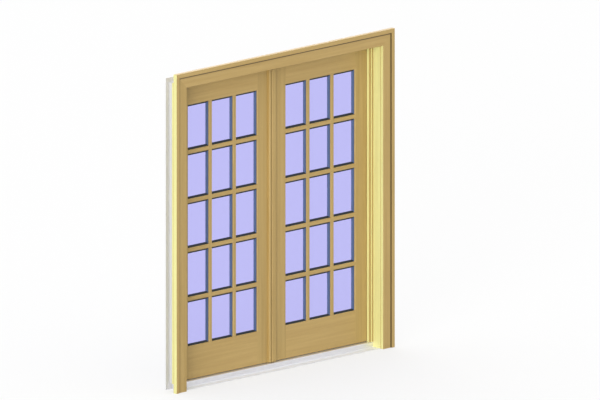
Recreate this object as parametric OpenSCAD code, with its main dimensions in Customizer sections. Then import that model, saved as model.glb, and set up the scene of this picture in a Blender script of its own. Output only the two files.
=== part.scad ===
// A pair of outward opening french doors in their frame, in millimetres.
// X runs along the wall, Y from the room side to the outside, Z up.
// The origin is on the floor, midway along the sill and in the middle of the wall's thickness.

/* [Leaves] */
// Width of one door leaf
leaf_w = 914; // [700:1:1000]
// Height of one door leaf
leaf_h = 2032; // [1900:1:2400]
// Thickness of a leaf
leaf_t = 44; // [40:1:54]
// Width of the stile that carries the hinges
hinge_stile_w = 134; // [100:1:150]
// Width of the stile at the meeting edge
meeting_stile_w = 118; // [100:1:140]
// Height of the top rail
top_rail_h = 155; // [110:1:180]
// Height of the bottom rail
bottom_rail_h = 225; // [180:1:300]
// Panes across one leaf
pane_cols = 3; // [2:1:3]
// Panes up one leaf
pane_rows = 5; // [3:1:5]
// Width of a glazing bar between two panes
bar_w = 28; // [26:1:40]
// Length of a rail's tenon inside the stile
tenon_l = 70; // [40:1:90]
// Thickness of a tenon
tenon_t = 14; // [10:1:16]
// Shoulder above and below a tenon
tenon_shoulder = 40; // [25:1:45]

/* [Glazing] */
// Depth from the leaf's room face to the glass
glass_set = 20; // [14:1:24]
// Thickness of a glass pane
glass_t = 6; // [4:0.5:10]
// Width of the rebate that holds the glass
rebate_w = 9; // [8:0.5:12]
// Gap between a pane's edge and the rebate's wall
glass_clear = 2; // [1:0.5:4]
// Width of the sloped moulding round each pane
mould_w = 3; // [2:0.5:5]
// Depth of the sloped moulding
mould_d = 5; // [3:0.5:9]
// Small square step between the leaf's face and the moulding
quirk = 1; // [0.5:0.5:2]

/* [Meeting edge] */
// Width of the astragal post between the two leaves
astragal_w = 30; // [26:1:40]
// Open joint between the astragal and the other leaf
meeting_gap = 5; // [4:0.5:8]
// How far the cover strips stand proud of the leaves
cover_t = 18; // [12:1:24]
// How far the astragal's flange laps over its own leaf
flange_lap = 8; // [4:1:30]
// Width of the cover strip on the other leaf
strip_w = 22; // [12:1:30]
// Chamfer on the long edges of the cover strips
cover_bevel = 4; // [1:0.5:6]
// Width of the meeting seal's foot on the astragal
meeting_seal_w = 7; // [5:0.5:9]
// Gap that the swinging leaves need beside the meeting seal
meeting_seal_clear = 1.9; // [1.9:0.1:3]

/* [Frame] */
// Thickness of the wall that the frame is made for
wall_t = 116; // [100:1:200]
// Thickness of the side jambs
jamb_t = 28; // [24:1:45]
// Thickness of the head
head_t = 23; // [22:1:45]
// Depth of the wooden lining from the wall's room face
lining_d = 93; // [80:1:110]
// Depth from the wall's room face to the leaves
leaf_set = 103; // [100:1:140]
// Gap between a leaf's edge and the frame
edge_gap = 3; // [2:0.5:5]
// Height of the sill
sill_h = 39; // [30:1:50]
// Wall of the hollow sill
sill_wall = 3; // [2:0.5:5]
// How far the sill runs out past the leaves
sill_nose = 24; // [10:1:60]
// Height of the sill's outer edge
sill_lip_h = 10; // [7:0.5:14]
// Length of the plugs that close the sill's ends
plug_l = 12; // [6:1:25]
// Thickness of the floor plate in front of the sill
floor_plate_t = 4; // [2:0.5:8]
// Gap between the sill and a leaf's bottom
bottom_gap = 4; // [3:0.5:10]
// Running gap between the sweep under a leaf and the sill
sweep_clear = 1; // [0.5:0.5:2]
// Thickness of the sweep under a leaf
sweep_t = 12; // [6:1:20]
// Diameter of the fixing holes in the side linings
fixing_d = 5.2; // [4:0.1:8]
// Depth of the fixing holes from the wall's room face
fixing_set = 35; // [20:1:50]
// Height of the lower fixing hole
fixing_low = 350; // [200:10:600]
// Distance from the head down to the upper fixing hole
fixing_drop = 328; // [200:1:600]

/* [Stops and seals] */
// How far a stop stands in from the jamb
stop_t = 28; // [20:0.5:32]
// Depth from the wall's room face to the stop
stop_set = 68; // [60:1:72]
// Width of the step in the stop's room side
step_w = 16.5; // [8:0.5:18]
// Depth of the step in the stop's room side
step_d = 11.5; // [6:0.5:13]
// Space between stop and leaf that the seal fills
seal_space = 3; // [2:0.5:5]
// Running gap between seal and leaf
seal_clear = 0.3; // [0.2:0.1:1]
// Width of the seal
seal_w = 8; // [5:0.5:10]
// Depth of the seal's root in the stop's groove
seal_root_d = 6; // [3:0.5:9]
// Thickness of the seal's root
seal_root_t = 2.5; // [1.5:0.5:4]

/* [Trim] */
// Width of the room side casing
casing_w = 105; // [80:1:140]
// Thickness of the casing's flat board
casing_t = 22; // [16:1:28]
// Width of the raised band along the casing's outer edge
band_w = 29; // [16:1:40]
// How far the band stands proud of the casing
band_proud = 8; // [3:0.5:14]
// Width and depth of the groove at the foot of the band
casing_groove = 3; // [1:0.5:6]
// Chamfer on the casing's and band's long edges
casing_ease = 2; // [0.5:0.5:3]
// Width of the two flat lands on the casing's back
casing_land = 20; // [10:1:25]
// Depth of the relief between the lands
casing_relief = 2; // [1:0.5:5]
// Part of the jamb's edge left showing beside the casing
casing_reveal = 3; // [2:0.5:10]
// Width of the outer trim
trim_w = 34; // [30:1:80]
// Thickness of the outer trim
trim_t = 6; // [5:0.5:40]
// Sloped edge of the outer trim
trim_bevel = 2; // [0.5:0.5:4]

/* [Hinges and bolts] */
// Height of a hinge
hinge_h = 100; // [75:1:125]
// Distance from a leaf's top or bottom to the nearest hinge's middle
hinge_inset = 230; // [150:5:300]
// Width of a hinge plate
plate_w = 32; // [24:1:36]
// Thickness of a hinge plate
plate_t = 2.5; // [2:0.1:3.5]
// Radius of a hinge knuckle
knuckle_r = 6.5; // [5.5:0.1:8]
// Radius of a hinge pin
pin_r = 3.5; // [2.5:0.1:4]
// Running clearance round a hinge pin or bolt
pin_clear = 0.05; // [0.02:0.01:0.1]
// Gap between two knuckles
knuckle_gap = 0.4; // [0.2:0.1:1]
// Gap between the knuckles and the leaf's outer face
knuckle_set = 1; // [0.5:0.5:3]
// Radius of a flush bolt
bolt_r = 5; // [3.5:0.5:6]
// Length of a flush bolt
bolt_l = 180; // [140:5:260]
// Travel of the top bolt
top_travel = 20; // [12:1:20]
// Travel of the bottom bolt
bottom_travel = 26; // [22:1:28]
// Clearance round a bolt in its keep
keep_clear = 1; // [0.5:0.5:3]
// Height of a bolt's thumb piece
thumb_h = 16; // [10:1:24]
// Width of a bolt's thumb piece
thumb_w = 7; // [5:0.5:9]
// Clearance round a thumb piece in its slot
thumb_clear = 0.5; // [0.3:0.1:1.5]
// How far a bolt's end and thumb piece lie below the astragal's faces
bolt_sink = 1; // [0.5:0.5:3]

/* [Hidden] */
$fn = 64;
over = 1;
hinge_count = 3;
knuckle_count = 5;
pin_head_r = (pin_r + knuckle_r) / 2;
pin_head_h = 4;

wood = "#b99c64";
pale_wood = "#dccf8c";
white = "#e6e6e2";
blue_grey = "#93a4b0";
grey = "#dadade";
clear_glass = "#c2bff8";
rubber = "#3a3a3c";
steel = "#a8a8ac";

// Places across the wall
room_y = -wall_t / 2;
outer_y = wall_t / 2;
lining_y = room_y + lining_d;
leaf_y = room_y + leaf_set;
leaf_back = leaf_y + leaf_t;
stop_y = room_y + stop_set;
seal_y = leaf_y - seal_space;
glass_y = leaf_y + glass_set;
bead_y = glass_y + glass_t;
sill_back = leaf_back + sill_nose;
cover_y = leaf_y - cover_t;

// Places along the wall, measured from the middle
meeting_x = (astragal_w + meeting_gap) / 2;
hinge_edge = meeting_x + leaf_w;
half_open = hinge_edge + edge_gap;
half_frame = half_open + jamb_t;
casing_in = half_open + casing_reveal;

// Heights
leaf_z = sill_h + bottom_gap;
leaf_top = leaf_z + leaf_h;
head_z = leaf_top + edge_gap;
frame_top = head_z + head_t;
casing_in_z = head_z + casing_reveal;
fixing_pitch = head_z - fixing_drop - fixing_low;

// Panes of one leaf
field_w = leaf_w - hinge_stile_w - meeting_stile_w;
field_h = leaf_h - top_rail_h - bottom_rail_h;
field_x = meeting_x + meeting_stile_w;
field_z = leaf_z + bottom_rail_h;
pane_w = (field_w - (pane_cols - 1) * bar_w) / pane_cols;
pane_h = (field_h - (pane_rows - 1) * bar_w) / pane_rows;
function pane_x(col) = field_x + col * (pane_w + bar_w);
function pane_z(row) = field_z + row * (pane_h + bar_w);

// Hinge places
hinge_x = half_open - edge_gap / 2;
hinge_y = leaf_back + knuckle_set + knuckle_r;
hinge_step = (leaf_h - 2 * hinge_inset) / (hinge_count - 1);
knuckle_pitch = hinge_h / knuckle_count;
function hinge_z(i) = leaf_z + hinge_inset + i * hinge_step - hinge_h / 2;

// Flush bolt places
astragal_x = meeting_x - astragal_w;
bolt_x = astragal_x + astragal_w / 2;
bolt_y = leaf_y + leaf_t / 2;
thumb_x = astragal_x + bolt_sink;
cover_top = head_z - stop_t - edge_gap;

// A box between two corners
module block(low, high) {
    translate(low) cube(high - low);
}

// An outline in X and Z, run along Y
module run_y(points, y0, y1) {
    translate([0, y1, 0]) rotate([90, 0, 0]) linear_extrude(y1 - y0) polygon(points);
}

// An outline in Y and Z, run along X
module run_x(points, x0, x1) {
    translate([x0, 0, 0]) rotate([90, 0, 90]) linear_extrude(x1 - x0) polygon(points);
}

// An outline in X and Y, run along Z
module run_z(points, z0, z1) {
    translate([0, 0, z0]) linear_extrude(z1 - z0) polygon(points);
}

// Draws a right hand piece on the left
module on_left() {
    mirror([1, 0, 0]) children();
}

// Right upright of a mitred surround, from an outline of [distance out, depth]
module surround_side(outline, in_x, in_z, wide, z0) {
    low_y = min([for (p = outline) p[1]]);
    high_y = max([for (p = outline) p[1]]);
    miter = [[in_x, z0], [in_x + wide, z0], [in_x + wide, in_z + wide], [in_x, in_z]];
    intersection() {
        run_z([for (p = outline) [in_x + p[0], p[1]]], z0, in_z + wide);
        run_y(miter, low_y, high_y);
    }
}

// Top of a mitred surround, from the same outline
module surround_head(outline, in_x, in_z, wide) {
    low_y = min([for (p = outline) p[1]]);
    high_y = max([for (p = outline) p[1]]);
    out_x = in_x + wide;
    miter = [[-in_x, in_z], [in_x, in_z], [out_x, in_z + wide], [-out_x, in_z + wide]];
    intersection() {
        run_x([for (p = outline) [p[1], in_z + p[0]]], -out_x, out_x);
        run_y(miter, low_y, high_y);
    }
}

// Outlines of the surrounds, as [distance out from the inner edge, depth]
casing_face = room_y - casing_t;
band_face = casing_face - band_proud;
band_in = casing_w - band_w;
casing_outline = [
    [0, room_y], [casing_land, room_y], [casing_land, room_y - casing_relief],
    [casing_w - casing_land, room_y - casing_relief], [casing_w - casing_land, room_y],
    [casing_w, room_y], [casing_w, band_face + casing_ease],
    [casing_w - casing_ease, band_face], [band_in + casing_ease, band_face],
    [band_in, band_face + casing_ease], [band_in, casing_face + casing_groove],
    [band_in - casing_groove, casing_face + casing_groove], [band_in - casing_groove, casing_face],
    [casing_ease, casing_face], [0, casing_face + casing_ease]
];
trim_outline = [
    [0, outer_y], [trim_w, outer_y], [trim_w, outer_y + trim_t - trim_bevel],
    [trim_w - trim_bevel, outer_y + trim_t], [0, outer_y + trim_t]
];
// The seal's middle lies halfway over the part of the stop that the leaf laps
seal_u = (stop_t - edge_gap) / 2;
root_in = seal_u - seal_root_t / 2;
root_out = seal_u + seal_root_t / 2;
root_y = seal_y - seal_root_d;
stop_outline = [
    [stop_t, stop_y], [stop_t, seal_y], [root_out, seal_y], [root_out, root_y], [root_in, root_y],
    [root_in, seal_y], [0, seal_y], [0, stop_y + step_d], [step_w, stop_y + step_d],
    [step_w, stop_y]
];
seal_face = leaf_y - seal_clear;
seal_outline = [
    [seal_u + seal_w / 2, seal_y], [seal_u + seal_w / 4, seal_face], [seal_u - seal_w / 4, seal_face],
    [seal_u - seal_w / 2, seal_y], [root_in, seal_y], [root_in, root_y], [root_out, root_y],
    [root_out, seal_y]
];
stop_in = half_open - stop_t;
stop_in_z = head_z - stop_t;

// Frame
module right_post_solid() {
    difference() {
        block([half_open, lining_y, sill_h], [half_frame, leaf_back, head_z]);
        for (i = [0 : hinge_count - 1])
            block([half_open - over, leaf_back - plate_w, hinge_z(i)],
                [half_open + plate_t, leaf_back + over, hinge_z(i) + hinge_h]);
    }
}

module left_frame_post() {
    color(white) on_left() right_post_solid();
}

module right_frame_post() {
    color(white) right_post_solid();
}

module frame_head() {
    color(white) difference() {
        block([-half_frame, lining_y, head_z], [half_frame, leaf_back, frame_top]);
        translate([bolt_x, bolt_y, head_z - over])
            cylinder(r = bolt_r + keep_clear, h = top_travel + over);
    }
}

module right_lining_solid() {
    difference() {
        block([half_open, room_y, 0], [half_frame, lining_y, head_z]);
        block([half_open - over, stop_y, -over], [half_frame + over, lining_y + over, sill_h]);
        for (i = [0, 1])
            translate([half_open - over, room_y + fixing_set, fixing_low + i * fixing_pitch])
                rotate([0, 90, 0]) cylinder(d = fixing_d, h = jamb_t + 2 * over);
    }
}

module left_lining() {
    color(pale_wood) on_left() right_lining_solid();
}

module right_lining() {
    color(pale_wood) right_lining_solid();
}

module head_lining() {
    color(pale_wood) block([-half_frame, room_y, head_z], [half_frame, lining_y, frame_top]);
}

module left_stop() {
    color(pale_wood) on_left() surround_side(stop_outline, stop_in, stop_in_z, stop_t, sill_h);
}

module right_stop() {
    color(pale_wood) surround_side(stop_outline, stop_in, stop_in_z, stop_t, sill_h);
}

module head_stop() {
    color(pale_wood) surround_head(stop_outline, stop_in, stop_in_z, stop_t);
}

module left_seal() {
    color(rubber) on_left() surround_side(seal_outline, stop_in, stop_in_z, stop_t, sill_h);
}

module right_seal() {
    color(rubber) surround_side(seal_outline, stop_in, stop_in_z, stop_t, sill_h);
}

module head_seal() {
    color(rubber) surround_head(seal_outline, stop_in, stop_in_z, stop_t);
}

module left_casing() {
    color(wood) on_left() surround_side(casing_outline, casing_in, casing_in_z, casing_w, 0);
}

module right_casing() {
    color(wood) surround_side(casing_outline, casing_in, casing_in_z, casing_w, 0);
}

module head_casing() {
    color(wood) surround_head(casing_outline, casing_in, casing_in_z, casing_w);
}

module left_outer_trim() {
    color(white) on_left() surround_side(trim_outline, half_frame, frame_top, trim_w, 0);
}

module right_outer_trim() {
    color(white) surround_side(trim_outline, half_frame, frame_top, trim_w, 0);
}

module head_outer_trim() {
    color(white) surround_head(trim_outline, half_frame, frame_top, trim_w);
}

// Hollow threshold under the posts, with two chambers and a sloped nose between the posts
sill_top_in = sill_h - sill_wall;
sill_chambers = [
    for (depth = [
        [stop_y + sill_wall, leaf_y - sill_wall / 2], [leaf_y + sill_wall / 2, leaf_back - sill_wall]
    ])
        [[depth[0], sill_wall], [depth[1], sill_wall], [depth[1], sill_top_in], [depth[0], sill_top_in]]
];

module sill() {
    slope = sill_nose / (sill_h - sill_lip_h);
    nose_wall = sill_wall * sqrt(1 + slope * slope);
    nose_in = leaf_back - sill_wall - over;
    color(grey) difference() {
        union() {
            block([-half_frame, stop_y, 0], [half_frame, leaf_back, sill_h]);
            run_x([
                [leaf_back - over, 0], [sill_back, 0], [sill_back, sill_lip_h], [leaf_back, sill_h],
                [leaf_back - over, sill_h]
            ], -half_open, half_open);
        }
        for (outline = sill_chambers)
            run_x(outline, -half_frame - over, half_frame + over);
        run_x([
            [nose_in, sill_wall], [sill_back - nose_wall, sill_wall], [sill_back - nose_wall, sill_lip_h],
            [leaf_back - nose_wall + slope * sill_wall, sill_top_in], [nose_in, sill_top_in]
        ], sill_wall - half_open, half_open - sill_wall);
        translate([bolt_x, bolt_y, sill_h - 2 * sill_wall])
            cylinder(r = bolt_r + keep_clear, h = 2 * sill_wall + over);
    }
}

module sill_plug_solids() {
    for (outline = sill_chambers)
        run_x(outline, half_frame - plug_l, half_frame);
}

module left_sill_plugs() {
    color(grey) on_left() sill_plug_solids();
}

module right_sill_plugs() {
    color(grey) sill_plug_solids();
}

module floor_plate() {
    color(white) block([-half_open, room_y, 0], [half_open, stop_y, floor_plate_t]);
}

// Leaves, drawn as the right hand one
module pane_cut(col, row) {
    x0 = pane_x(col);
    z0 = pane_z(row);
    x1 = x0 + pane_w;
    z1 = z0 + pane_h;
    step_y = leaf_y + quirk;
    slope_y = leaf_y + mould_d;
    wide = mould_w + quirk;
    front_y = leaf_y - over;
    intersection() {
        run_z([
            [x0 - wide, front_y], [x1 + wide, front_y], [x1 + wide, step_y], [x1 + mould_w, step_y],
            [x1, slope_y], [x1, bead_y], [x0, bead_y], [x0, slope_y], [x0 - mould_w, step_y],
            [x0 - wide, step_y]
        ], z0 - wide, z1 + wide);
        run_x([
            [front_y, z0 - wide], [step_y, z0 - wide], [step_y, z0 - mould_w], [slope_y, z0],
            [bead_y, z0], [bead_y, z1], [slope_y, z1], [step_y, z1 + mould_w], [step_y, z1 + wide],
            [front_y, z1 + wide]
        ], x0 - wide, x1 + wide);
    }
    block([x0 - rebate_w, glass_y, z0 - rebate_w], [x1 + rebate_w, leaf_back + over, z1 + rebate_w]);
}

module pane_cuts(cols, rows) {
    for (col = cols, row = rows)
        pane_cut(col, row);
}

all_cols = [0 : pane_cols - 1];
all_rows = [0 : pane_rows - 1];
tenon_y = glass_y;
rail_z = [leaf_z, leaf_top - top_rail_h];
rail_h = [bottom_rail_h, top_rail_h];
outer_x = hinge_edge - hinge_stile_w;

// A rail's tenon, or the mortise for it, from the shoulder of one stile to the other
module tenons(i) {
    block([field_x - tenon_l, tenon_y, rail_z[i] + tenon_shoulder],
        [outer_x + tenon_l, tenon_y + tenon_t, rail_z[i] + rail_h[i] - tenon_shoulder]);
}

module hinge_stile_solid() {
    difference() {
        block([outer_x, leaf_y, leaf_z], [hinge_edge, leaf_back, leaf_top]);
        pane_cuts([pane_cols - 1], all_rows);
        tenons(0);
        tenons(1);
        for (i = [0 : hinge_count - 1])
            block([hinge_edge - plate_t, leaf_back - plate_w, hinge_z(i)],
                [hinge_edge + over, leaf_back + over, hinge_z(i) + hinge_h]);
    }
}

module meeting_stile_solid() {
    difference() {
        block([meeting_x, leaf_y, leaf_z], [field_x, leaf_back, leaf_top]);
        pane_cuts([0], all_rows);
        tenons(0);
        tenons(1);
    }
}

module rail_solid(i, row) {
    difference() {
        block([field_x, leaf_y, rail_z[i]], [outer_x, leaf_back, rail_z[i] + rail_h[i]]);
        pane_cuts(all_cols, [row]);
    }
    tenons(i);
}

module upright_bar_solids() {
    for (col = [1 : pane_cols - 1])
        difference() {
            block([pane_x(col) - bar_w, leaf_y, field_z], [pane_x(col), leaf_back, field_z + field_h]);
            pane_cuts([col - 1, col], all_rows);
        }
}

module cross_bar_solids() {
    for (row = [1 : pane_rows - 1], col = all_cols)
        difference() {
            block([pane_x(col), leaf_y, pane_z(row) - bar_w],
                [pane_x(col) + pane_w, leaf_back, pane_z(row)]);
            pane_cuts([col], [row - 1, row]);
        }
}

module glass_solids() {
    lap = rebate_w - glass_clear;
    for (row = all_rows, col = all_cols)
        block([pane_x(col) - lap, glass_y, pane_z(row) - lap],
            [pane_x(col) + pane_w + lap, bead_y, pane_z(row) + pane_h + lap]);
}

// One bead strip along X, as long as the rebate, with its foot at the origin and mitred ends
module bead_strip(long) {
    miter = [[0, 0], [long, 0], [long - rebate_w, rebate_w], [rebate_w, rebate_w]];
    outline = [
        [bead_y, 0], [leaf_back, 0], [leaf_back, rebate_w - mould_w],
        [leaf_back - mould_d, rebate_w], [bead_y, rebate_w]
    ];
    intersection() {
        run_x(outline, 0, long);
        run_y(miter, bead_y, leaf_back);
    }
}

module bead_solids() {
    wide = pane_w + 2 * rebate_w;
    tall = pane_h + 2 * rebate_w;
    for (row = all_rows, col = all_cols)
        translate([pane_x(col) - rebate_w, 0, pane_z(row) - rebate_w]) {
            bead_strip(wide);
            translate([wide, 0, tall]) rotate([0, 180, 0]) bead_strip(wide);
            translate([wide, 0, 0]) rotate([0, -90, 0]) bead_strip(tall);
            translate([0, 0, tall]) rotate([0, 90, 0]) bead_strip(tall);
        }
}

module sweep_solid() {
    mid_y = leaf_y + leaf_t / 2;
    block([meeting_x, mid_y - sweep_t / 2, sill_h + sweep_clear], [hinge_edge, mid_y + sweep_t / 2, leaf_z]);
}

// A cover strip with bevelled long edges on the leaf's room face
module cover_solid(x0, x1) {
    run_z([
        [x0, leaf_y], [x1, leaf_y], [x1, cover_y + cover_bevel], [x1 - cover_bevel, cover_y],
        [x0 + cover_bevel, cover_y], [x0, cover_y + cover_bevel]
    ], leaf_z, cover_top);
}

module left_cover_strip() {
    color(wood) on_left() cover_solid(meeting_x, meeting_x + strip_w);
}

// Flush bolts, drawn upward from the bolt's inner end at height 0
module bolt_rod() {
    cylinder(r = bolt_r, h = bolt_l);
    block([thumb_x - bolt_x, -thumb_w / 2, thumb_h], [0, thumb_w / 2, 2 * thumb_h]);
}

module bolt_pocket(travel) {
    slot_w = thumb_w / 2 + thumb_clear;
    translate([0, 0, -over]) cylinder(r = bolt_r + pin_clear, h = bolt_l + bolt_sink + 2 * over);
    block([astragal_x - over - bolt_x, -slot_w, thumb_h - thumb_clear],
        [0, slot_w, 2 * thumb_h + travel + thumb_clear]);
}

module at_top_bolt() {
    translate([bolt_x, bolt_y, leaf_top - bolt_sink - bolt_l]) children();
}

module at_bottom_bolt() {
    translate([bolt_x, bolt_y, leaf_z + bolt_sink + bolt_l]) mirror([0, 0, 1]) children();
}

module astragal() {
    color(wood) difference() {
        union() {
            block([astragal_x, leaf_y, leaf_z], [meeting_x, leaf_back, leaf_top]);
            cover_solid(astragal_x, meeting_x + flange_lap);
        }
        at_top_bolt() bolt_pocket(top_travel);
        at_bottom_bolt() bolt_pocket(bottom_travel);
    }
}

// Tapered seal in the open joint, on the room side of the bolts' thumb slots
module meeting_seal() {
    tip_x = meeting_seal_clear - meeting_x;
    foot_y = leaf_y + 2;
    taper = meeting_seal_w / 4;
    color(rubber) run_z([
        [astragal_x, foot_y], [astragal_x, foot_y + meeting_seal_w],
        [tip_x, foot_y + meeting_seal_w - taper], [tip_x, foot_y + taper]
    ], leaf_z, leaf_top);
}

module top_flush_bolt() {
    color(steel) at_top_bolt() bolt_rod();
}

module bottom_flush_bolt() {
    color(steel) at_bottom_bolt() bolt_rod();
}

// Hinges, drawn as the right hand ones
module hinge_plate_solids(x0, first) {
    for (i = [0 : hinge_count - 1])
        difference() {
            union() {
                block([x0, leaf_back - plate_w, hinge_z(i)], [x0 + plate_t, leaf_back, hinge_z(i) + hinge_h]);
                for (k = [first : 2 : knuckle_count - 1]) {
                    z0 = hinge_z(i) + k * knuckle_pitch + knuckle_gap / 2;
                    z1 = z0 + knuckle_pitch - knuckle_gap;
                    block([x0, leaf_back - over, z0], [x0 + plate_t, hinge_y, z1]);
                    translate([hinge_x, hinge_y, z0]) cylinder(r = knuckle_r, h = z1 - z0);
                }
            }
            translate([hinge_x, hinge_y, hinge_z(i) - over])
                cylinder(r = pin_r + pin_clear, h = hinge_h + 2 * over);
        }
}

module hinge_pin_solids() {
    for (i = [0 : hinge_count - 1])
        translate([hinge_x, hinge_y, hinge_z(i) + knuckle_gap / 2]) {
            cylinder(r = pin_r, h = hinge_h);
            translate([0, 0, hinge_h - knuckle_gap]) cylinder(r = pin_head_r, h = pin_head_h);
        }
}

module left_hinge_frame_plates() {
    color(steel) on_left() hinge_plate_solids(half_open, 0);
}

module right_hinge_frame_plates() {
    color(steel) hinge_plate_solids(half_open, 0);
}

module left_hinge_leaf_plates() {
    color(steel) on_left() hinge_plate_solids(hinge_edge - plate_t, 1);
}

module right_hinge_leaf_plates() {
    color(steel) hinge_plate_solids(hinge_edge - plate_t, 1);
}

module left_hinge_pins() {
    color(steel) on_left() hinge_pin_solids();
}

module right_hinge_pins() {
    color(steel) hinge_pin_solids();
}

// The two leaves
module left_hinge_stile() {
    color(wood) on_left() hinge_stile_solid();
}

module right_hinge_stile() {
    color(wood) hinge_stile_solid();
}

module left_meeting_stile() {
    color(wood) on_left() meeting_stile_solid();
}

module right_meeting_stile() {
    color(wood) meeting_stile_solid();
}

module left_top_rail() {
    color(wood) on_left() rail_solid(1, pane_rows - 1);
}

module right_top_rail() {
    color(wood) rail_solid(1, pane_rows - 1);
}

module left_bottom_rail() {
    color(wood) on_left() rail_solid(0, 0);
}

module right_bottom_rail() {
    color(wood) rail_solid(0, 0);
}

module left_upright_bars() {
    color(wood) on_left() upright_bar_solids();
}

module right_upright_bars() {
    color(wood) upright_bar_solids();
}

module left_cross_bars() {
    color(wood) on_left() cross_bar_solids();
}

module right_cross_bars() {
    color(wood) cross_bar_solids();
}

module left_glass_panes() {
    color(clear_glass) on_left() glass_solids();
}

module right_glass_panes() {
    color(clear_glass) glass_solids();
}

module left_glazing_beads() {
    color(blue_grey) on_left() bead_solids();
}

module right_glazing_beads() {
    color(blue_grey) bead_solids();
}

module left_sweep() {
    color(rubber) on_left() sweep_solid();
}

module right_sweep() {
    color(rubber) sweep_solid();
}

left_frame_post();
right_frame_post();
frame_head();
left_lining();
right_lining();
head_lining();
left_stop();
right_stop();
head_stop();
left_seal();
right_seal();
head_seal();
left_casing();
right_casing();
head_casing();
left_outer_trim();
right_outer_trim();
head_outer_trim();
sill();
left_sill_plugs();
right_sill_plugs();
floor_plate();
left_hinge_stile();
left_meeting_stile();
left_top_rail();
left_bottom_rail();
left_upright_bars();
left_cross_bars();
left_glass_panes();
left_glazing_beads();
left_sweep();
left_cover_strip();
right_hinge_stile();
right_meeting_stile();
right_top_rail();
right_bottom_rail();
right_upright_bars();
right_cross_bars();
right_glass_panes();
right_glazing_beads();
right_sweep();
astragal();
meeting_seal();
left_hinge_frame_plates();
left_hinge_leaf_plates();
left_hinge_pins();
right_hinge_frame_plates();
right_hinge_leaf_plates();
right_hinge_pins();
top_flush_bolt();
bottom_flush_bolt();
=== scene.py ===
# French doors in their frame: finishes, hinge screws, glazing seals, light and camera, in metres.
import math

import bmesh
import bpy
from mathutils import Matrix, Vector


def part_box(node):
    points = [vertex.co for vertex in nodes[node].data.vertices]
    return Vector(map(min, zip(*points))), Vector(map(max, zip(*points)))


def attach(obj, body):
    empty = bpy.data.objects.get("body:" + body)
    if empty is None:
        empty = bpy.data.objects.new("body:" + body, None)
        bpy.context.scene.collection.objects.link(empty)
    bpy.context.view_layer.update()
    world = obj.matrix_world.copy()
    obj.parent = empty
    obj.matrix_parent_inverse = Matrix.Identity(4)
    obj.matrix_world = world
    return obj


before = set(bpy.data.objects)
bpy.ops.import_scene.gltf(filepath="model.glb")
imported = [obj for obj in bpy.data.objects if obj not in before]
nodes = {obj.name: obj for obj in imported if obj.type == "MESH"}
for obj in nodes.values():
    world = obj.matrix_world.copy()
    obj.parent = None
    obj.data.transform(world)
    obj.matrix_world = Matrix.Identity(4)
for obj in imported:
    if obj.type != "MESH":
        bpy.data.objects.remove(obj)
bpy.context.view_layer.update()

MM = 0.001

# Sizes in the construction that a node's box doesn't give
BAND_WIDTH = 29 * MM       # raised band along the outer edge of the casings
STOP_STEP = 11.5 * MM      # from the room face of the stops back to their step
HINGE_LENGTH = 100 * MM
BAR_WIDTH = 28 * MM        # glazing bars
GLASS_LAP = 7 * MM         # how far a pane runs into its rebate
PANE_COLUMNS, PANE_ROWS = 3, 5

# Places read from the frame: X runs across the doorway from its middle, Y outwards and Z up
BEAD_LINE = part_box("right_glass_panes")[1][1]      # back of the glass, where the outside paint starts
JAMB_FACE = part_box("right_frame_post")[0][0]
LEAF_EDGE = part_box("right_hinge_stile")[1][0]      # hinge edge of the leaves
hinges_low, hinges_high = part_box("right_hinge_frame_plates")
HINGE_ROOM_EDGE = hinges_low[1]                    # edge of the hinge plates towards the room
HINGE_HEIGHTS = (hinges_low[2] + HINGE_LENGTH / 2, (hinges_low[2] + hinges_high[2]) / 2,
                 hinges_high[2] - HINGE_LENGTH / 2)
casing_low, casing_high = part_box("right_casing")
CASING_SIDES = (casing_low[0], casing_high[0])     # inner and outer edge of the side casings
BAND_SIDE = casing_high[0] - BAND_WIDTH            # inner face of the band on the side casings
BAND_HEAD = casing_high[2] - BAND_WIDTH            # and on the head casing
stop_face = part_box("right_stop")[0][1]
ROOM_FACES = (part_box("right_lining")[0][1], stop_face, stop_face + STOP_STEP)  # where they face the room

# The photograph's view: a parallel view from the left, a little from above
PHOTO_WIDTH, PHOTO_HEIGHT = 600, 400
PIXELS_PER_METRE = 149.27
ORIGIN_PIXEL = (276.5, 368.6)  # where the middle of the sill's foot falls
VIEW_TURN = math.radians(45.48)
VIEW_TILT = math.radians(12.205)
CAMERA_DISTANCE = 14.0
CAMERA_REACH = 200.0           # far enough for the whole floor

# Colours, most of them in pairs between which a finish varies
TAN = ("#BFA264", "#B39557")
TAN_LEVEL_PAINTED_LIGHT = ("#C4A668", "#B8995B")  # rails and heads, a little lighter: painted light against the head's shade
# A paler copy of the tan wood: painted light on the side faces of linings, stops and casings
PALE_PAINTED_LIGHT = ("#ECE9A0", "#E4DE96")
WHITE = ("#DBDCDD", "#D4D5D6")
FLOOR_WHITE = ("#F2F4F8", "#ECEEF3")
# Blue-grey bead paint, partly painted shade on the reveals seen through the glass
BLUE_GREY_PAINTED_SHADE = ("#A6BCC8", "#9EB4C0")
ALUMINIUM = ("#E4E4E8", "#EEEEF1")
STEEL = ("#A3A3A7", "#B6B6B9")
BLACK = ("#2C2C2E", "#48484A")
# Seal rubber in two tones, painted shade of the reveals behind the glass: darker at foot and top
BLUE_BLACK_PAINTED_SHADE = ("#0E1820", "#1A2630")
SLATE_BLUE_PAINTED_SHADE = ("#44587E", "#50648A")
GLASS = "#BDBBF7"
PURE_WHITE = "#FFFFFF"

# Light levels, plain enough that a colour renders about as it is written
SKY = 0.6                 # even light from all round
OVERHEAD = 0.95           # what a wide ceiling light adds straight above
OVERHEAD_FALLOFF = 2.0    # power by which that fades towards the horizon
BACKDROP = 1.0            # the background as the eye sees it
FLOOR_GLOW = 0.68         # lifts the floor to white for the eye
FLOOR_SHADOWED = "#898989"  # the part of the floor's white that a shadow takes away
FLOOR_BOUNCE = "#AAAAAA"    # the floor to the light that bounces off it

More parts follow.
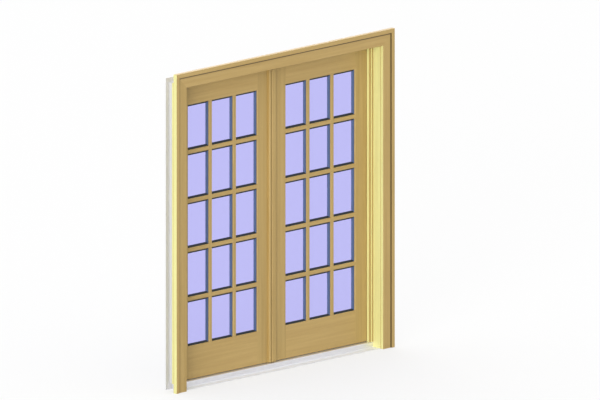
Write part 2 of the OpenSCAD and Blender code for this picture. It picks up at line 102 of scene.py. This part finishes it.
# Timber finish
EDGE_ROUNDING = 0.6 * MM   # sanded edges
EDGE_SEGMENTS = 2
EDGE_ANGLE = math.radians(40)          # edges sharper than this are sanded
GROOVE_PAINTED_SHADE = 0.3               # how dark the painted shade is in the groove at the foot of the band
GROOVE_PAINTED_SHADE_FADE = (5 * MM, 12 * MM)  # from the band, where the painted shade starts and where it ends to fade


# Colour and node helpers

# Sockets of a Mix node, whose names repeat
FACTOR, NUMBER_A, NUMBER_B, COLOUR_A, COLOUR_B, MIXED_COLOUR = 0, 2, 3, 6, 7, 2


def linear(hex_colour):
    """An sRGB hex colour as linear RGBA."""
    parts = [int(hex_colour[i:i + 2], 16) / 255 for i in (1, 3, 5)]
    return [p / 12.92 if p <= 0.04045 else ((p + 0.055) / 1.055) ** 2.4 for p in parts] + [1.0]


def add(tree, kind, inputs=None, **settings):
    """Adds a node. inputs holds, by socket name or number, a value or another node's output."""
    made = tree.nodes.new(kind)
    for name, value in settings.items():
        setattr(made, name, value)
    for socket, value in (inputs or {}).items():
        if isinstance(value, bpy.types.NodeSocket):
            tree.links.new(value, made.inputs[socket])
        else:
            made.inputs[socket].default_value = value
    return made


def new_material(name):
    """An empty node material, with its tree and output node."""
    material = bpy.data.materials.new(name)
    material.use_nodes = True
    material.node_tree.nodes.clear()
    output = material.node_tree.nodes.new("ShaderNodeOutputMaterial")
    return material, material.node_tree, output


def per_mm(across, along, grain):
    """Pattern scale for a grain of that width and length in millimetres, along X or Z."""
    wide, long = 1 / (across * MM), 1 / (along * MM)
    return (long, wide, wide) if grain == "X" else (wide, wide, long)


# Finishes

def varnished_timber(name, tones, grain, painted_outside=False, pale_lit_edges=None, tan_faces_at=(),
                     groove=None):
    """Planed softwood under a clear satin varnish: growth lines along the board, fine pores, a soft sheen.

    painted_outside gives the part of the board beyond the glass a brushed white paint.
    pale_lit_edges is how far the long edges of an upright board lie from the middle of the doorway:
    their side faces take the paler copy of the wood, as painted light.
    tan_faces_at holds the depths of the room faces of a pale board: they keep the tan wood's own colour,
    and the rest of the board is painted paler, as painted light.
    groove is the axis and the place of a band's inner face: the groove in front of it is darkened
    as painted shade, fading out across the board.
    """
    material, tree, output = new_material(name)
    place = add(tree, "ShaderNodeTexCoord").outputs["Object"]
    # Growth lines 22 mm apart, about as fine as a picture of the whole door can show
    lines_at = add(tree, "ShaderNodeMapping", {"Vector": place, "Scale": per_mm(22, 700, grain)})
    lines = add(tree, "ShaderNodeTexNoise",
                {"Vector": lines_at.outputs[0], "Scale": 1.0, "Detail": 3.0, "Distortion": 0.4})
    # Pores 1.5 mm wide and 40 mm long
    pores_at = add(tree, "ShaderNodeMapping", {"Vector": place, "Scale": per_mm(1.5, 40, grain)})
    pores = add(tree, "ShaderNodeTexNoise", {"Vector": pores_at.outputs[0], "Scale": 1.0, "Detail": 2.0})
    # Slow change of tone, 300 mm across and 1.5 m along the board
    tone_at = add(tree, "ShaderNodeMapping", {"Vector": place, "Scale": per_mm(300, 1500, grain)})
    tone = add(tree, "ShaderNodeTexNoise", {"Vector": tone_at.outputs[0], "Scale": 1.0, "Detail": 1.0})

    growth = add(tree, "ShaderNodeMapRange",
                 {"Value": lines.outputs["Fac"], "From Min": 0.3, "From Max": 0.7}).outputs[0]
    wood = add(tree, "ShaderNodeMix",
               {FACTOR: growth, COLOUR_A: linear(tones[0]), COLOUR_B: linear(tones[1])},
               data_type="RGBA").outputs[MIXED_COLOUR]
    pore_shade = add(tree, "ShaderNodeMapRange",
                     {"Value": pores.outputs["Fac"], "From Min": 0.25, "From Max": 0.75,
                      "To Min": 0.94, "To Max": 1.06})
    tone_shade = add(tree, "ShaderNodeMapRange",
                     {"Value": tone.outputs["Fac"], "From Min": 0.3, "From Max": 0.7,
                      "To Min": 0.97, "To Max": 1.03})
    shade = add(tree, "ShaderNodeMath", {0: pore_shade.outputs[0], 1: tone_shade.outputs[0]},
                operation="MULTIPLY").outputs[0]

    # Painted shade: darker in the groove at the foot of the band, fading out across the board
    if groove:
        axis, band_face = groove
        fade_start, fade_end = GROOVE_PAINTED_SHADE_FADE
        reach = add(tree, "ShaderNodeSeparateXYZ", {0: place}).outputs[axis]
        reach = add(tree, "ShaderNodeMath", {0: reach}, operation="ABSOLUTE").outputs[0]
        inwards = add(tree, "ShaderNodeMath", {0: band_face + EDGE_ROUNDING, 1: reach},
                      operation="SUBTRACT").outputs[0]
        fade = add(tree, "ShaderNodeMapRange",
                   {"Value": inwards, "From Min": fade_start, "From Max": fade_end,
                    "To Min": GROOVE_PAINTED_SHADE}, interpolation_type="SMOOTHSTEP")
        # The band itself keeps its tone
        off_band = add(tree, "ShaderNodeMath", {0: inwards, 1: 0.0}, operation="GREATER_THAN")
        fade = add(tree, "ShaderNodeMix",
                   {FACTOR: off_band.outputs[0], NUMBER_A: 1.0, NUMBER_B: fade.outputs[0]})
        shade = add(tree, "ShaderNodeMath", {0: shade, 1: fade.outputs[0]}, operation="MULTIPLY").outputs[0]

    # Painted light: the pale boards are a paler copy of the tan wood, but their room faces keep the tan
    if tan_faces_at:
        depth = add(tree, "ShaderNodeSeparateXYZ", {0: place}).outputs["Y"]
        room_face_tan = add(tree, "ShaderNodeMix",
                    {FACTOR: growth, COLOUR_A: linear(TAN[0]), COLOUR_B: linear(TAN[1])},
                    data_type="RGBA").outputs[MIXED_COLOUR]
        for face in tan_faces_at:
            on_face = add(tree, "ShaderNodeMath", {0: depth, 1: face, 2: EDGE_ROUNDING},
                          operation="COMPARE").outputs[0]
            wood = add(tree, "ShaderNodeMix", {FACTOR: on_face, COLOUR_A: wood, COLOUR_B: room_face_tan},
                       data_type="RGBA").outputs[MIXED_COLOUR]

    # Painted light: the long side faces of the casings take the paler copy of the wood
    if pale_lit_edges:
        inner, outer = pale_lit_edges
        across = add(tree, "ShaderNodeSeparateXYZ", {0: place}).outputs["X"]
        across = add(tree, "ShaderNodeMath", {0: across}, operation="ABSOLUTE").outputs[0]
        off_middle = add(tree, "ShaderNodeMath", {0: across, 1: (inner + outer) / 2},
                         operation="SUBTRACT").outputs[0]
        off_middle = add(tree, "ShaderNodeMath", {0: off_middle}, operation="ABSOLUTE").outputs[0]
        on_edge = add(tree, "ShaderNodeMath", {0: off_middle, 1: (outer - inner) / 2 - EDGE_ROUNDING},
                      operation="GREATER_THAN").outputs[0]
        pale_lit = add(tree, "ShaderNodeMix",
                   {FACTOR: growth, COLOUR_A: linear(PALE_PAINTED_LIGHT[0]), COLOUR_B: linear(PALE_PAINTED_LIGHT[1])},
                   data_type="RGBA").outputs[MIXED_COLOUR]
        wood = add(tree, "ShaderNodeMix", {FACTOR: on_edge, COLOUR_A: wood, COLOUR_B: pale_lit},
                   data_type="RGBA").outputs[MIXED_COLOUR]

    colour = add(tree, "ShaderNodeVectorMath", {0: wood, "Scale": shade}, operation="SCALE").outputs[0]
    rough = add(tree, "ShaderNodeMapRange",
                {"Value": pores.outputs["Fac"], "To Min": 0.38, "To Max": 0.52}).outputs[0]
    height = pores.outputs["Fac"]

    if painted_outside:
        depth = add(tree, "ShaderNodeSeparateXYZ", {0: place}).outputs["Y"]
        outside = add(tree, "ShaderNodeMath", {0: depth, 1: BEAD_LINE}, operation="GREATER_THAN").outputs[0]
        # Brush strokes 2.5 mm apart and 180 mm long
        strokes_at = add(tree, "ShaderNodeMapping", {"Vector": place, "Scale": per_mm(2.5, 180, grain)})
        strokes = add(tree, "ShaderNodeTexNoise", {"Vector": strokes_at.outputs[0], "Scale": 1.0})
        colour = add(tree, "ShaderNodeMix", {FACTOR: outside, COLOUR_A: colour, COLOUR_B: linear(WHITE[0])},
                     data_type="RGBA").outputs[MIXED_COLOUR]
        rough = add(tree, "ShaderNodeMix", {FACTOR: outside, NUMBER_A: rough, NUMBER_B: 0.42}).outputs[0]
        height = add(tree, "ShaderNodeMix",
                     {FACTOR: outside, NUMBER_A: height, NUMBER_B: strokes.outputs["Fac"]}).outputs[0]

    bump = add(tree, "ShaderNodeBump", {"Strength": 0.12, "Distance": 0.25 * MM, "Height": height})
    surface = add(tree, "ShaderNodeBsdfPrincipled",
                  {"Base Color": colour, "Roughness": rough, "IOR": 1.5, "Normal": bump.outputs[0]})
    tree.links.new(surface.outputs[0], output.inputs["Surface"])
    return material


def brushed_paint(name, tones, grain):
    """Satin paint laid on with a brush: faint strokes along the board that break the gloss."""
    material, tree, output = new_material(name)
    place = add(tree, "ShaderNodeTexCoord").outputs["Object"]
    # Brush strokes 2.5 mm apart and 180 mm long
    strokes_at = add(tree, "ShaderNodeMapping", {"Vector": place, "Scale": per_mm(2.5, 180, grain)})
    strokes = add(tree, "ShaderNodeTexNoise",
                  {"Vector": strokes_at.outputs[0], "Scale": 1.0, "Detail": 2.0}).outputs["Fac"]
    # Uneven cover, 120 mm across
    cover_at = add(tree, "ShaderNodeMapping", {"Vector": place, "Scale": per_mm(120, 500, grain)})
    cover = add(tree, "ShaderNodeTexNoise", {"Vector": cover_at.outputs[0], "Scale": 1.0}).outputs["Fac"]
    colour = add(tree, "ShaderNodeMix",
                 {FACTOR: cover, COLOUR_A: linear(tones[0]), COLOUR_B: linear(tones[1])}, data_type="RGBA")
    rough = add(tree, "ShaderNodeMapRange", {"Value": strokes, "To Min": 0.36, "To Max": 0.5})
    bump = add(tree, "ShaderNodeBump", {"Strength": 0.1, "Distance": 0.2 * MM, "Height": strokes})
    surface = add(tree, "ShaderNodeBsdfPrincipled",
                  {"Base Color": colour.outputs[MIXED_COLOUR], "Roughness": rough.outputs[0], "IOR": 1.5,
                   "Normal": bump.outputs[0]})
    tree.links.new(surface.outputs[0], output.inputs["Surface"])
    return material


def anodised_aluminium(name, tones):
    """Extruded aluminium, anodised pale grey: fine die lines along the length under a dull sheen."""
    material, tree, output = new_material(name)
    place = add(tree, "ShaderNodeTexCoord").outputs["Object"]
    # Die lines 1.2 mm apart, unbroken for most of a metre
    lines_at = add(tree, "ShaderNodeMapping", {"Vector": place, "Scale": per_mm(1.2, 900, "X")})
    lines = add(tree, "ShaderNodeTexNoise",
                {"Vector": lines_at.outputs[0], "Scale": 1.0, "Detail": 1.0}).outputs["Fac"]
    colour = add(tree, "ShaderNodeMix",
                 {FACTOR: lines, COLOUR_A: linear(tones[0]), COLOUR_B: linear(tones[1])}, data_type="RGBA")
    rough = add(tree, "ShaderNodeMapRange", {"Value": lines, "To Min": 0.42, "To Max": 0.55})
    surface = add(tree, "ShaderNodeBsdfPrincipled",
                  {"Base Color": colour.outputs[MIXED_COLOUR], "Metallic": 1.0,
                   "Roughness": rough.outputs[0]})
    tree.links.new(surface.outputs[0], output.inputs["Surface"])
    return material


def tinted_float_glass(name, tint):
    """Polished float glass with a pale blue violet tint, wiped with a cloth: its gloss varies a little."""
    material, tree, output = new_material(name)
    place = add(tree, "ShaderNodeTexCoord").outputs["Object"]
    # Wiping marks 90 mm across
    wiped = add(tree, "ShaderNodeTexNoise",
                {"Vector": place, "Scale": 1 / (90 * MM), "Detail": 2.0}).outputs["Fac"]
    rough = add(tree, "ShaderNodeMapRange", {"Value": wiped, "To Min": 0.0, "To Max": 0.02})
    surface = add(tree, "ShaderNodeBsdfPrincipled",
                  {"Base Color": linear(tint), "Roughness": rough.outputs[0], "IOR": 1.52,
                   "Transmission Weight": 1.0})
    tree.links.new(surface.outputs[0], output.inputs["Surface"])
    return material


def extruded_rubber(name, tones):
    """Extruded rubber: matt, with a dusty bloom in patches."""
    material, tree, output = new_material(name)
    place = add(tree, "ShaderNodeTexCoord").outputs["Object"]
    # Bloom in patches 25 mm across
    bloom = add(tree, "ShaderNodeTexNoise",
                {"Vector": place, "Scale": 1 / (25 * MM), "Detail": 3.0}).outputs["Fac"]
    colour = add(tree, "ShaderNodeMix",
                 {FACTOR: bloom, COLOUR_A: linear(tones[0]), COLOUR_B: linear(tones[1])}, data_type="RGBA")
    rough = add(tree, "ShaderNodeMapRange", {"Value": bloom, "To Min": 0.6, "To Max": 0.8})
    surface = add(tree, "ShaderNodeBsdfPrincipled",
                  {"Base Color": colour.outputs[MIXED_COLOUR], "Roughness": rough.outputs[0], "IOR": 1.52})
    tree.links.new(surface.outputs[0], output.inputs["Surface"])
    return material


def satin_steel(name, tones):
    """Steel rubbed to a satin finish: short fine scratches up and down, a wide soft highlight."""
    material, tree, output = new_material(name)
    place = add(tree, "ShaderNodeTexCoord").outputs["Object"]
    # Scratches 0.4 mm wide and 12 mm long
    scratch_at = add(tree, "ShaderNodeMapping", {"Vector": place, "Scale": per_mm(0.4, 12, "Z")})
    scratches = add(tree, "ShaderNodeTexNoise",
                    {"Vector": scratch_at.outputs[0], "Scale": 1.0, "Detail": 2.0}).outputs["Fac"]
    colour = add(tree, "ShaderNodeMix",
                 {FACTOR: scratches, COLOUR_A: linear(tones[0]), COLOUR_B: linear(tones[1])},
                 data_type="RGBA")
    rough = add(tree, "ShaderNodeMapRange", {"Value": scratches, "To Min": 0.26, "To Max": 0.42})
    surface = add(tree, "ShaderNodeBsdfPrincipled",
                  {"Base Color": colour.outputs[MIXED_COLOUR], "Metallic": 1.0,
                   "Roughness": rough.outputs[0]})
    tree.links.new(surface.outputs[0], output.inputs["Surface"])
    return material


tan_upright = varnished_timber("varnished_tan_wood_upright", TAN, "Z", pale_lit_edges=CASING_SIDES,
                               groove=("X", BAND_SIDE))
tan_level = varnished_timber("varnished_tan_wood_level", TAN_LEVEL_PAINTED_LIGHT, "X", groove=("Z", BAND_HEAD))
leaf_upright = varnished_timber("varnished_tan_wood_painted_outside_upright", TAN, "Z",
                                painted_outside=True)
leaf_level = varnished_timber("varnished_tan_wood_painted_outside_level", TAN_LEVEL_PAINTED_LIGHT, "X",
                              painted_outside=True)
pale_painted_light_upright = varnished_timber("varnished_wood_pale_painted_light_upright", PALE_PAINTED_LIGHT, "Z", tan_faces_at=ROOM_FACES)
pale_painted_light_level = varnished_timber("varnished_wood_pale_painted_light_level", PALE_PAINTED_LIGHT, "X", tan_faces_at=ROOM_FACES)
paint_upright = brushed_paint("brushed_white_paint_upright", WHITE, "Z")
paint_level = brushed_paint("brushed_white_paint_level", WHITE, "X")
plate_paint = brushed_paint("brushed_white_floor_paint", FLOOR_WHITE, "X")
bead_paint_and_shade = brushed_paint("brushed_blue_grey_paint_and_shade", BLUE_GREY_PAINTED_SHADE, "Z")
aluminium = anodised_aluminium("anodised_aluminium_extruded", ALUMINIUM)
glass = tinted_float_glass("tinted_float_glass", GLASS)
rubber = extruded_rubber("black_rubber_extruded", BLACK)
foot_rubber_painted_shade = extruded_rubber("blue_black_rubber_extruded_painted_shade", BLUE_BLACK_PAINTED_SHADE)
side_rubber_painted_shade = extruded_rubber("slate_blue_rubber_extruded_painted_shade", SLATE_BLUE_PAINTED_SHADE)
steel = satin_steel("satin_steel_rubbed", STEEL)

# Words in a node's name, and its finish for upright and level boards. The first match counts.
FINISHES = (
    ("glass", glass, glass),
    ("seal", rubber, rubber),
    ("sweep", rubber, rubber),
    ("bolt", steel, steel),
    ("hinge_frame", steel, steel),
    ("hinge_leaf", steel, steel),
    ("hinge_pins", steel, steel),
    ("sill", aluminium, aluminium),
    ("beads", bead_paint_and_shade, bead_paint_and_shade),
    ("floor_plate", plate_paint, plate_paint),
    ("frame", paint_upright, paint_level),
    ("outer_trim", paint_upright, paint_level),
    ("lining", pale_painted_light_upright, pale_painted_light_level),
    ("stop", pale_painted_light_upright, pale_painted_light_level),
    ("casing", tan_upright, tan_level),
    ("", leaf_upright, leaf_level),
)
LEVEL_WORDS = ("head", "rail", "cross")
SANDED_WORDS = ("casing", "lining", "stop", "post", "head", "trim", "stile", "rail", "bars", "strip",
                "astragal")

for name, node in nodes.items():
    level = any(word in name for word in LEVEL_WORDS)
    _, upright_finish, level_finish = next(row for row in FINISHES if row[0] in name)
    node.data.materials.clear()
    node.data.materials.append(level_finish if level else upright_finish)
    # Sanded edges on timber, so that they catch the light
    if any(word in name for word in SANDED_WORDS) and "seal" not in name:
        sanded = node.modifiers.new("sanded_edges", "BEVEL")
        sanded.width = EDGE_ROUNDING
        sanded.segments = EDGE_SEGMENTS
        sanded.limit_method = "ANGLE"
        sanded.angle_limit = EDGE_ANGLE


# Pieces that the construction leaves out

def finish_piece(name, mesh, material, body):
    """Turns a mesh into a piece with its material, which rides on a body."""
    bmesh.ops.recalc_face_normals(mesh, faces=mesh.faces)
    data = bpy.data.meshes.new(name)
    mesh.to_mesh(data)
    mesh.free()
    data.materials.append(material)
    piece = bpy.data.objects.new(name, data)
    bpy.context.collection.objects.link(piece)
    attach(piece, body)


# Hinge screws

SCREW_RADIUS = 3.6 * MM
SCREW_PROUD = 0.6 * MM
SCREW_SIDES = 24
SCREW_DOME = ((1.0, 0.0), (0.96, 0.35), (0.8, 0.7), (0.55, 0.9), (0.3, 0.98))  # shares of radius and height
RECESS_REACH = 0.6     # share of the radius that the cross recess takes
RECESS_SINK = 0.9      # share of the height by which it goes down
RECESS_ARM = 0.75      # how slim its arms are, from 0 to 1
RECESS_FLOOR = 0.05    # share of the height at which it ends
# In from the room edge of the plate, and up from its middle
SCREW_SPOTS = ((10 * MM, -36 * MM), (21 * MM, -12 * MM), (10 * MM, 12 * MM), (21 * MM, 36 * MM))


def screw_head(mesh, centre, facing):
    """Adds one low domed screw head with a cross recess, on a face that looks along X."""
    turn = Matrix.Rotation(math.pi / 2 * facing, 3, "Y")

    def vert(x, y, z):
        return mesh.verts.new(Vector(centre) + turn @ Vector((x, y, z)))

    loops = []
    for share, rise in SCREW_DOME:
        radius = SCREW_RADIUS * share
        loop = []
        for i in range(SCREW_SIDES):
            angle = 2 * math.pi * i / SCREW_SIDES
            # The recess pulls the inner rings down along a cross
            cross = max(abs(math.cos(2 * angle)) - RECESS_ARM, 0) / (1 - RECESS_ARM)
            sink = cross * RECESS_SINK if share <= RECESS_REACH else 0.0
            loop.append(vert(radius * math.cos(angle), radius * math.sin(angle),
                             SCREW_PROUD * max(rise - sink, RECESS_FLOOR)))
        loops.append(loop)
    for low, high in zip(loops, loops[1:]):
        for i in range(SCREW_SIDES):
            j = (i + 1) % SCREW_SIDES
            mesh.faces.new((low[i], low[j], high[j], high[i]))
    middle = vert(0, 0, SCREW_PROUD * RECESS_FLOOR)
    for i in range(SCREW_SIDES):
        mesh.faces.new((loops[-1][i], loops[-1][(i + 1) % SCREW_SIDES], middle))
    mesh.faces.new(list(reversed(loops[0])))


def hinge_screws(name, face_x, facing, body):
    """The screws of three hinge plates on one face."""
    mesh = bmesh.new()
    for height in HINGE_HEIGHTS:
        for inset, rise in SCREW_SPOTS:
            screw_head(mesh, (face_x, HINGE_ROOM_EDGE + inset, height + rise), facing)
    finish_piece(name, mesh, steel, body)


for hand, side in (("left", -1), ("right", 1)):
    hinge_screws(hand + "_frame_hinge_screws", side * JAMB_FACE, -side, "frame")
    hinge_screws(hand + "_leaf_hinge_screws", side * LEAF_EDGE, side, hand + "_leaf")


# Glazing seals

SEAL_WIDTH = 13 * MM
SEAL_PROUD = 10 * MM
SEAL_GAP = 0.1 * MM    # between the seal and the glass
SEAL_STEPS = 5         # facets of the quarter round
LEVEL_SIDES, UPRIGHT_SIDES = (0, 2), (1, 3)  # of a pane: foot and top, right and left


def seal_length(mesh, start, end):
    """Adds one closed length of seal between the outlines of its two mitred ends."""
    first = [mesh.verts.new(point) for point in start]
    last = [mesh.verts.new(point) for point in end]
    for i in range(len(first)):
        j = (i + 1) % len(first)
        mesh.faces.new((first[i], first[j], last[j], last[i]))
    mesh.faces.new(first)
    mesh.faces.new(last)


def glazing_seals(name, glass_node, sides, material, body):
    """Quarter rounds of rubber along those sides of each pane, in the corner of glass and moulding."""
    low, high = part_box(glass_node)
    left, bottom = low[0] + GLASS_LAP, low[2] + GLASS_LAP
    wide = (high[0] - GLASS_LAP - left - (PANE_COLUMNS - 1) * BAR_WIDTH) / PANE_COLUMNS
    tall = (high[2] - GLASS_LAP - bottom - (PANE_ROWS - 1) * BAR_WIDTH) / PANE_ROWS
    turns = [math.pi / 2 * step / SEAL_STEPS for step in range(SEAL_STEPS + 1)]
    # The section, as distance in from the moulding and distance out from the glass
    section = [(0, 0)] + [(SEAL_WIDTH * math.sin(turn), SEAL_PROUD * math.cos(turn)) for turn in turns]
    mesh = bmesh.new()
    for column in range(PANE_COLUMNS):
        for row in range(PANE_ROWS):
            x0, z0 = left + column * (wide + BAR_WIDTH), bottom + row * (tall + BAR_WIDTH)
            x1, z1 = x0 + wide, z0 + tall
            # Corners of the pane, each with the directions that lead inwards from it
            corners = ((x0, 1, z0, 1), (x1, -1, z0, 1), (x1, -1, z1, -1), (x0, 1, z1, -1))
            ends = [[(x + in_x * inset, low[1] - SEAL_GAP - proud, z + in_z * inset)
                     for inset, proud in section] for x, in_x, z, in_z in corners]
            for side in sides:
                seal_length(mesh, ends[side], ends[(side + 1) % len(ends)])
    finish_piece(name, mesh, material, body)


# Rubber seals round the panes, blue as painted shade behind the glass; the level lengths take the darker
# copy
for hand in ("left", "right"):
    panes, leaf = hand + "_glass_panes", hand + "_leaf"
    glazing_seals(hand + "_level_glazing_seals", panes, LEVEL_SIDES, foot_rubber_painted_shade, leaf)
    glazing_seals(hand + "_upright_glazing_seals", panes, UPRIGHT_SIDES, side_rubber_painted_shade, leaf)


# Floor

def seen_directly(tree):
    """1 for what the eye sees, also in gloss and through glass, and 0 for light that bounces."""
    path = add(tree, "ShaderNodeLightPath")
    seen = add(tree, "ShaderNodeMath",
               {0: path.outputs["Is Camera Ray"], 1: path.outputs["Is Glossy Ray"]}, operation="MAXIMUM")
    seen = add(tree, "ShaderNodeMath",
               {0: seen.outputs[0], 1: path.outputs["Is Transmission Ray"]}, operation="MAXIMUM")
    return seen.outputs[0]


FLOOR_SIZE = 120.0
floor_mesh = bmesh.new()
bmesh.ops.create_grid(floor_mesh, x_segments=4, y_segments=4, size=FLOOR_SIZE / 2)
floor_data = bpy.data.meshes.new("floor")
floor_mesh.to_mesh(floor_data)
floor_mesh.free()
floor = bpy.data.objects.new("floor", floor_data)
bpy.context.collection.objects.link(floor)

# White to the eye and in gloss and glass, plain grey to the light that bounces off it
floor_material, tree, output = new_material("pale_studio_floor")
shadowed = add(tree, "ShaderNodeBsdfDiffuse", {"Color": linear(FLOOR_SHADOWED)})
glow = add(tree, "ShaderNodeEmission", {"Color": linear(PURE_WHITE), "Strength": FLOOR_GLOW})
white_floor = add(tree, "ShaderNodeAddShader", {0: shadowed.outputs[0], 1: glow.outputs[0]})
bounce = add(tree, "ShaderNodeBsdfDiffuse", {"Color": linear(FLOOR_BOUNCE)})
floor_mix = add(tree, "ShaderNodeMixShader",
                {0: seen_directly(tree), 1: bounce.outputs[0], 2: white_floor.outputs[0]})
tree.links.new(floor_mix.outputs[0], output.inputs["Surface"])
floor_data.materials.append(floor_material)


# Light: an even white room, a wide soft lamp from the left that lights the reveals, and one outside

def soft_lamp(name, energy, spread, place):
    """A wide soft lamp far off in the direction of place, with a spread in degrees."""
    light = bpy.data.lights.new(name, "SUN")
    light.energy = energy
    light.angle = math.radians(spread)
    lamp = bpy.data.objects.new(name, light)
    bpy.context.collection.objects.link(lamp)
    lamp.rotation_euler = (-Vector(place)).to_track_quat("-Z", "Y").to_euler()


soft_lamp("room_side_lamp", energy=2.6, spread=30, place=(-0.84, -0.48, 0.06))
soft_lamp("outer_side_lamp", energy=1.4, spread=60, place=(0.55, 0.80, 0.20))

world = bpy.data.worlds.new("white_studio")
bpy.context.scene.world = world
world.use_nodes = True
tree = world.node_tree
tree.nodes.clear()
# Brighter overhead, as under a wide ceiling light
direction = add(tree, "ShaderNodeTexCoord").outputs["Generated"]
rise = add(tree, "ShaderNodeSeparateXYZ", {0: direction}).outputs["Z"]
rise = add(tree, "ShaderNodeMath", {0: rise, 1: 0.0}, operation="MAXIMUM").outputs[0]
rise = add(tree, "ShaderNodeMath", {0: rise, 1: OVERHEAD_FALLOFF}, operation="POWER").outputs[0]
sky = add(tree, "ShaderNodeMath", {0: rise, 1: OVERHEAD, 2: SKY}, operation="MULTIPLY_ADD").outputs[0]
strength = add(tree, "ShaderNodeMix", {FACTOR: seen_directly(tree), NUMBER_A: sky, NUMBER_B: BACKDROP})
background = add(tree, "ShaderNodeBackground",
                 {"Color": linear(PURE_WHITE), "Strength": strength.outputs[0]})
add(tree, "ShaderNodeOutputWorld", {"Surface": background.outputs[0]})


# Camera

right = Vector((math.cos(VIEW_TURN), -math.sin(VIEW_TURN), 0.0))
look = Vector((math.sin(VIEW_TURN) * math.cos(VIEW_TILT), math.cos(VIEW_TURN) * math.cos(VIEW_TILT),
               -math.sin(VIEW_TILT)))
up = right.cross(look)
aim = (right * (PHOTO_WIDTH / 2 - ORIGIN_PIXEL[0])
       + up * (ORIGIN_PIXEL[1] - PHOTO_HEIGHT / 2)) / PIXELS_PER_METRE
camera_data = bpy.data.cameras.new("camera")
camera_data.type = "ORTHO"
camera_data.ortho_scale = PHOTO_WIDTH / PIXELS_PER_METRE
camera_data.clip_end = CAMERA_REACH
camera = bpy.data.objects.new("camera", camera_data)
bpy.context.collection.objects.link(camera)
camera.location = aim - look * CAMERA_DISTANCE
camera.rotation_euler = look.to_track_quat("-Z", "Y").to_euler()
bpy.context.scene.camera = camera
bpy.context.scene.view_settings.view_transform = "Standard"
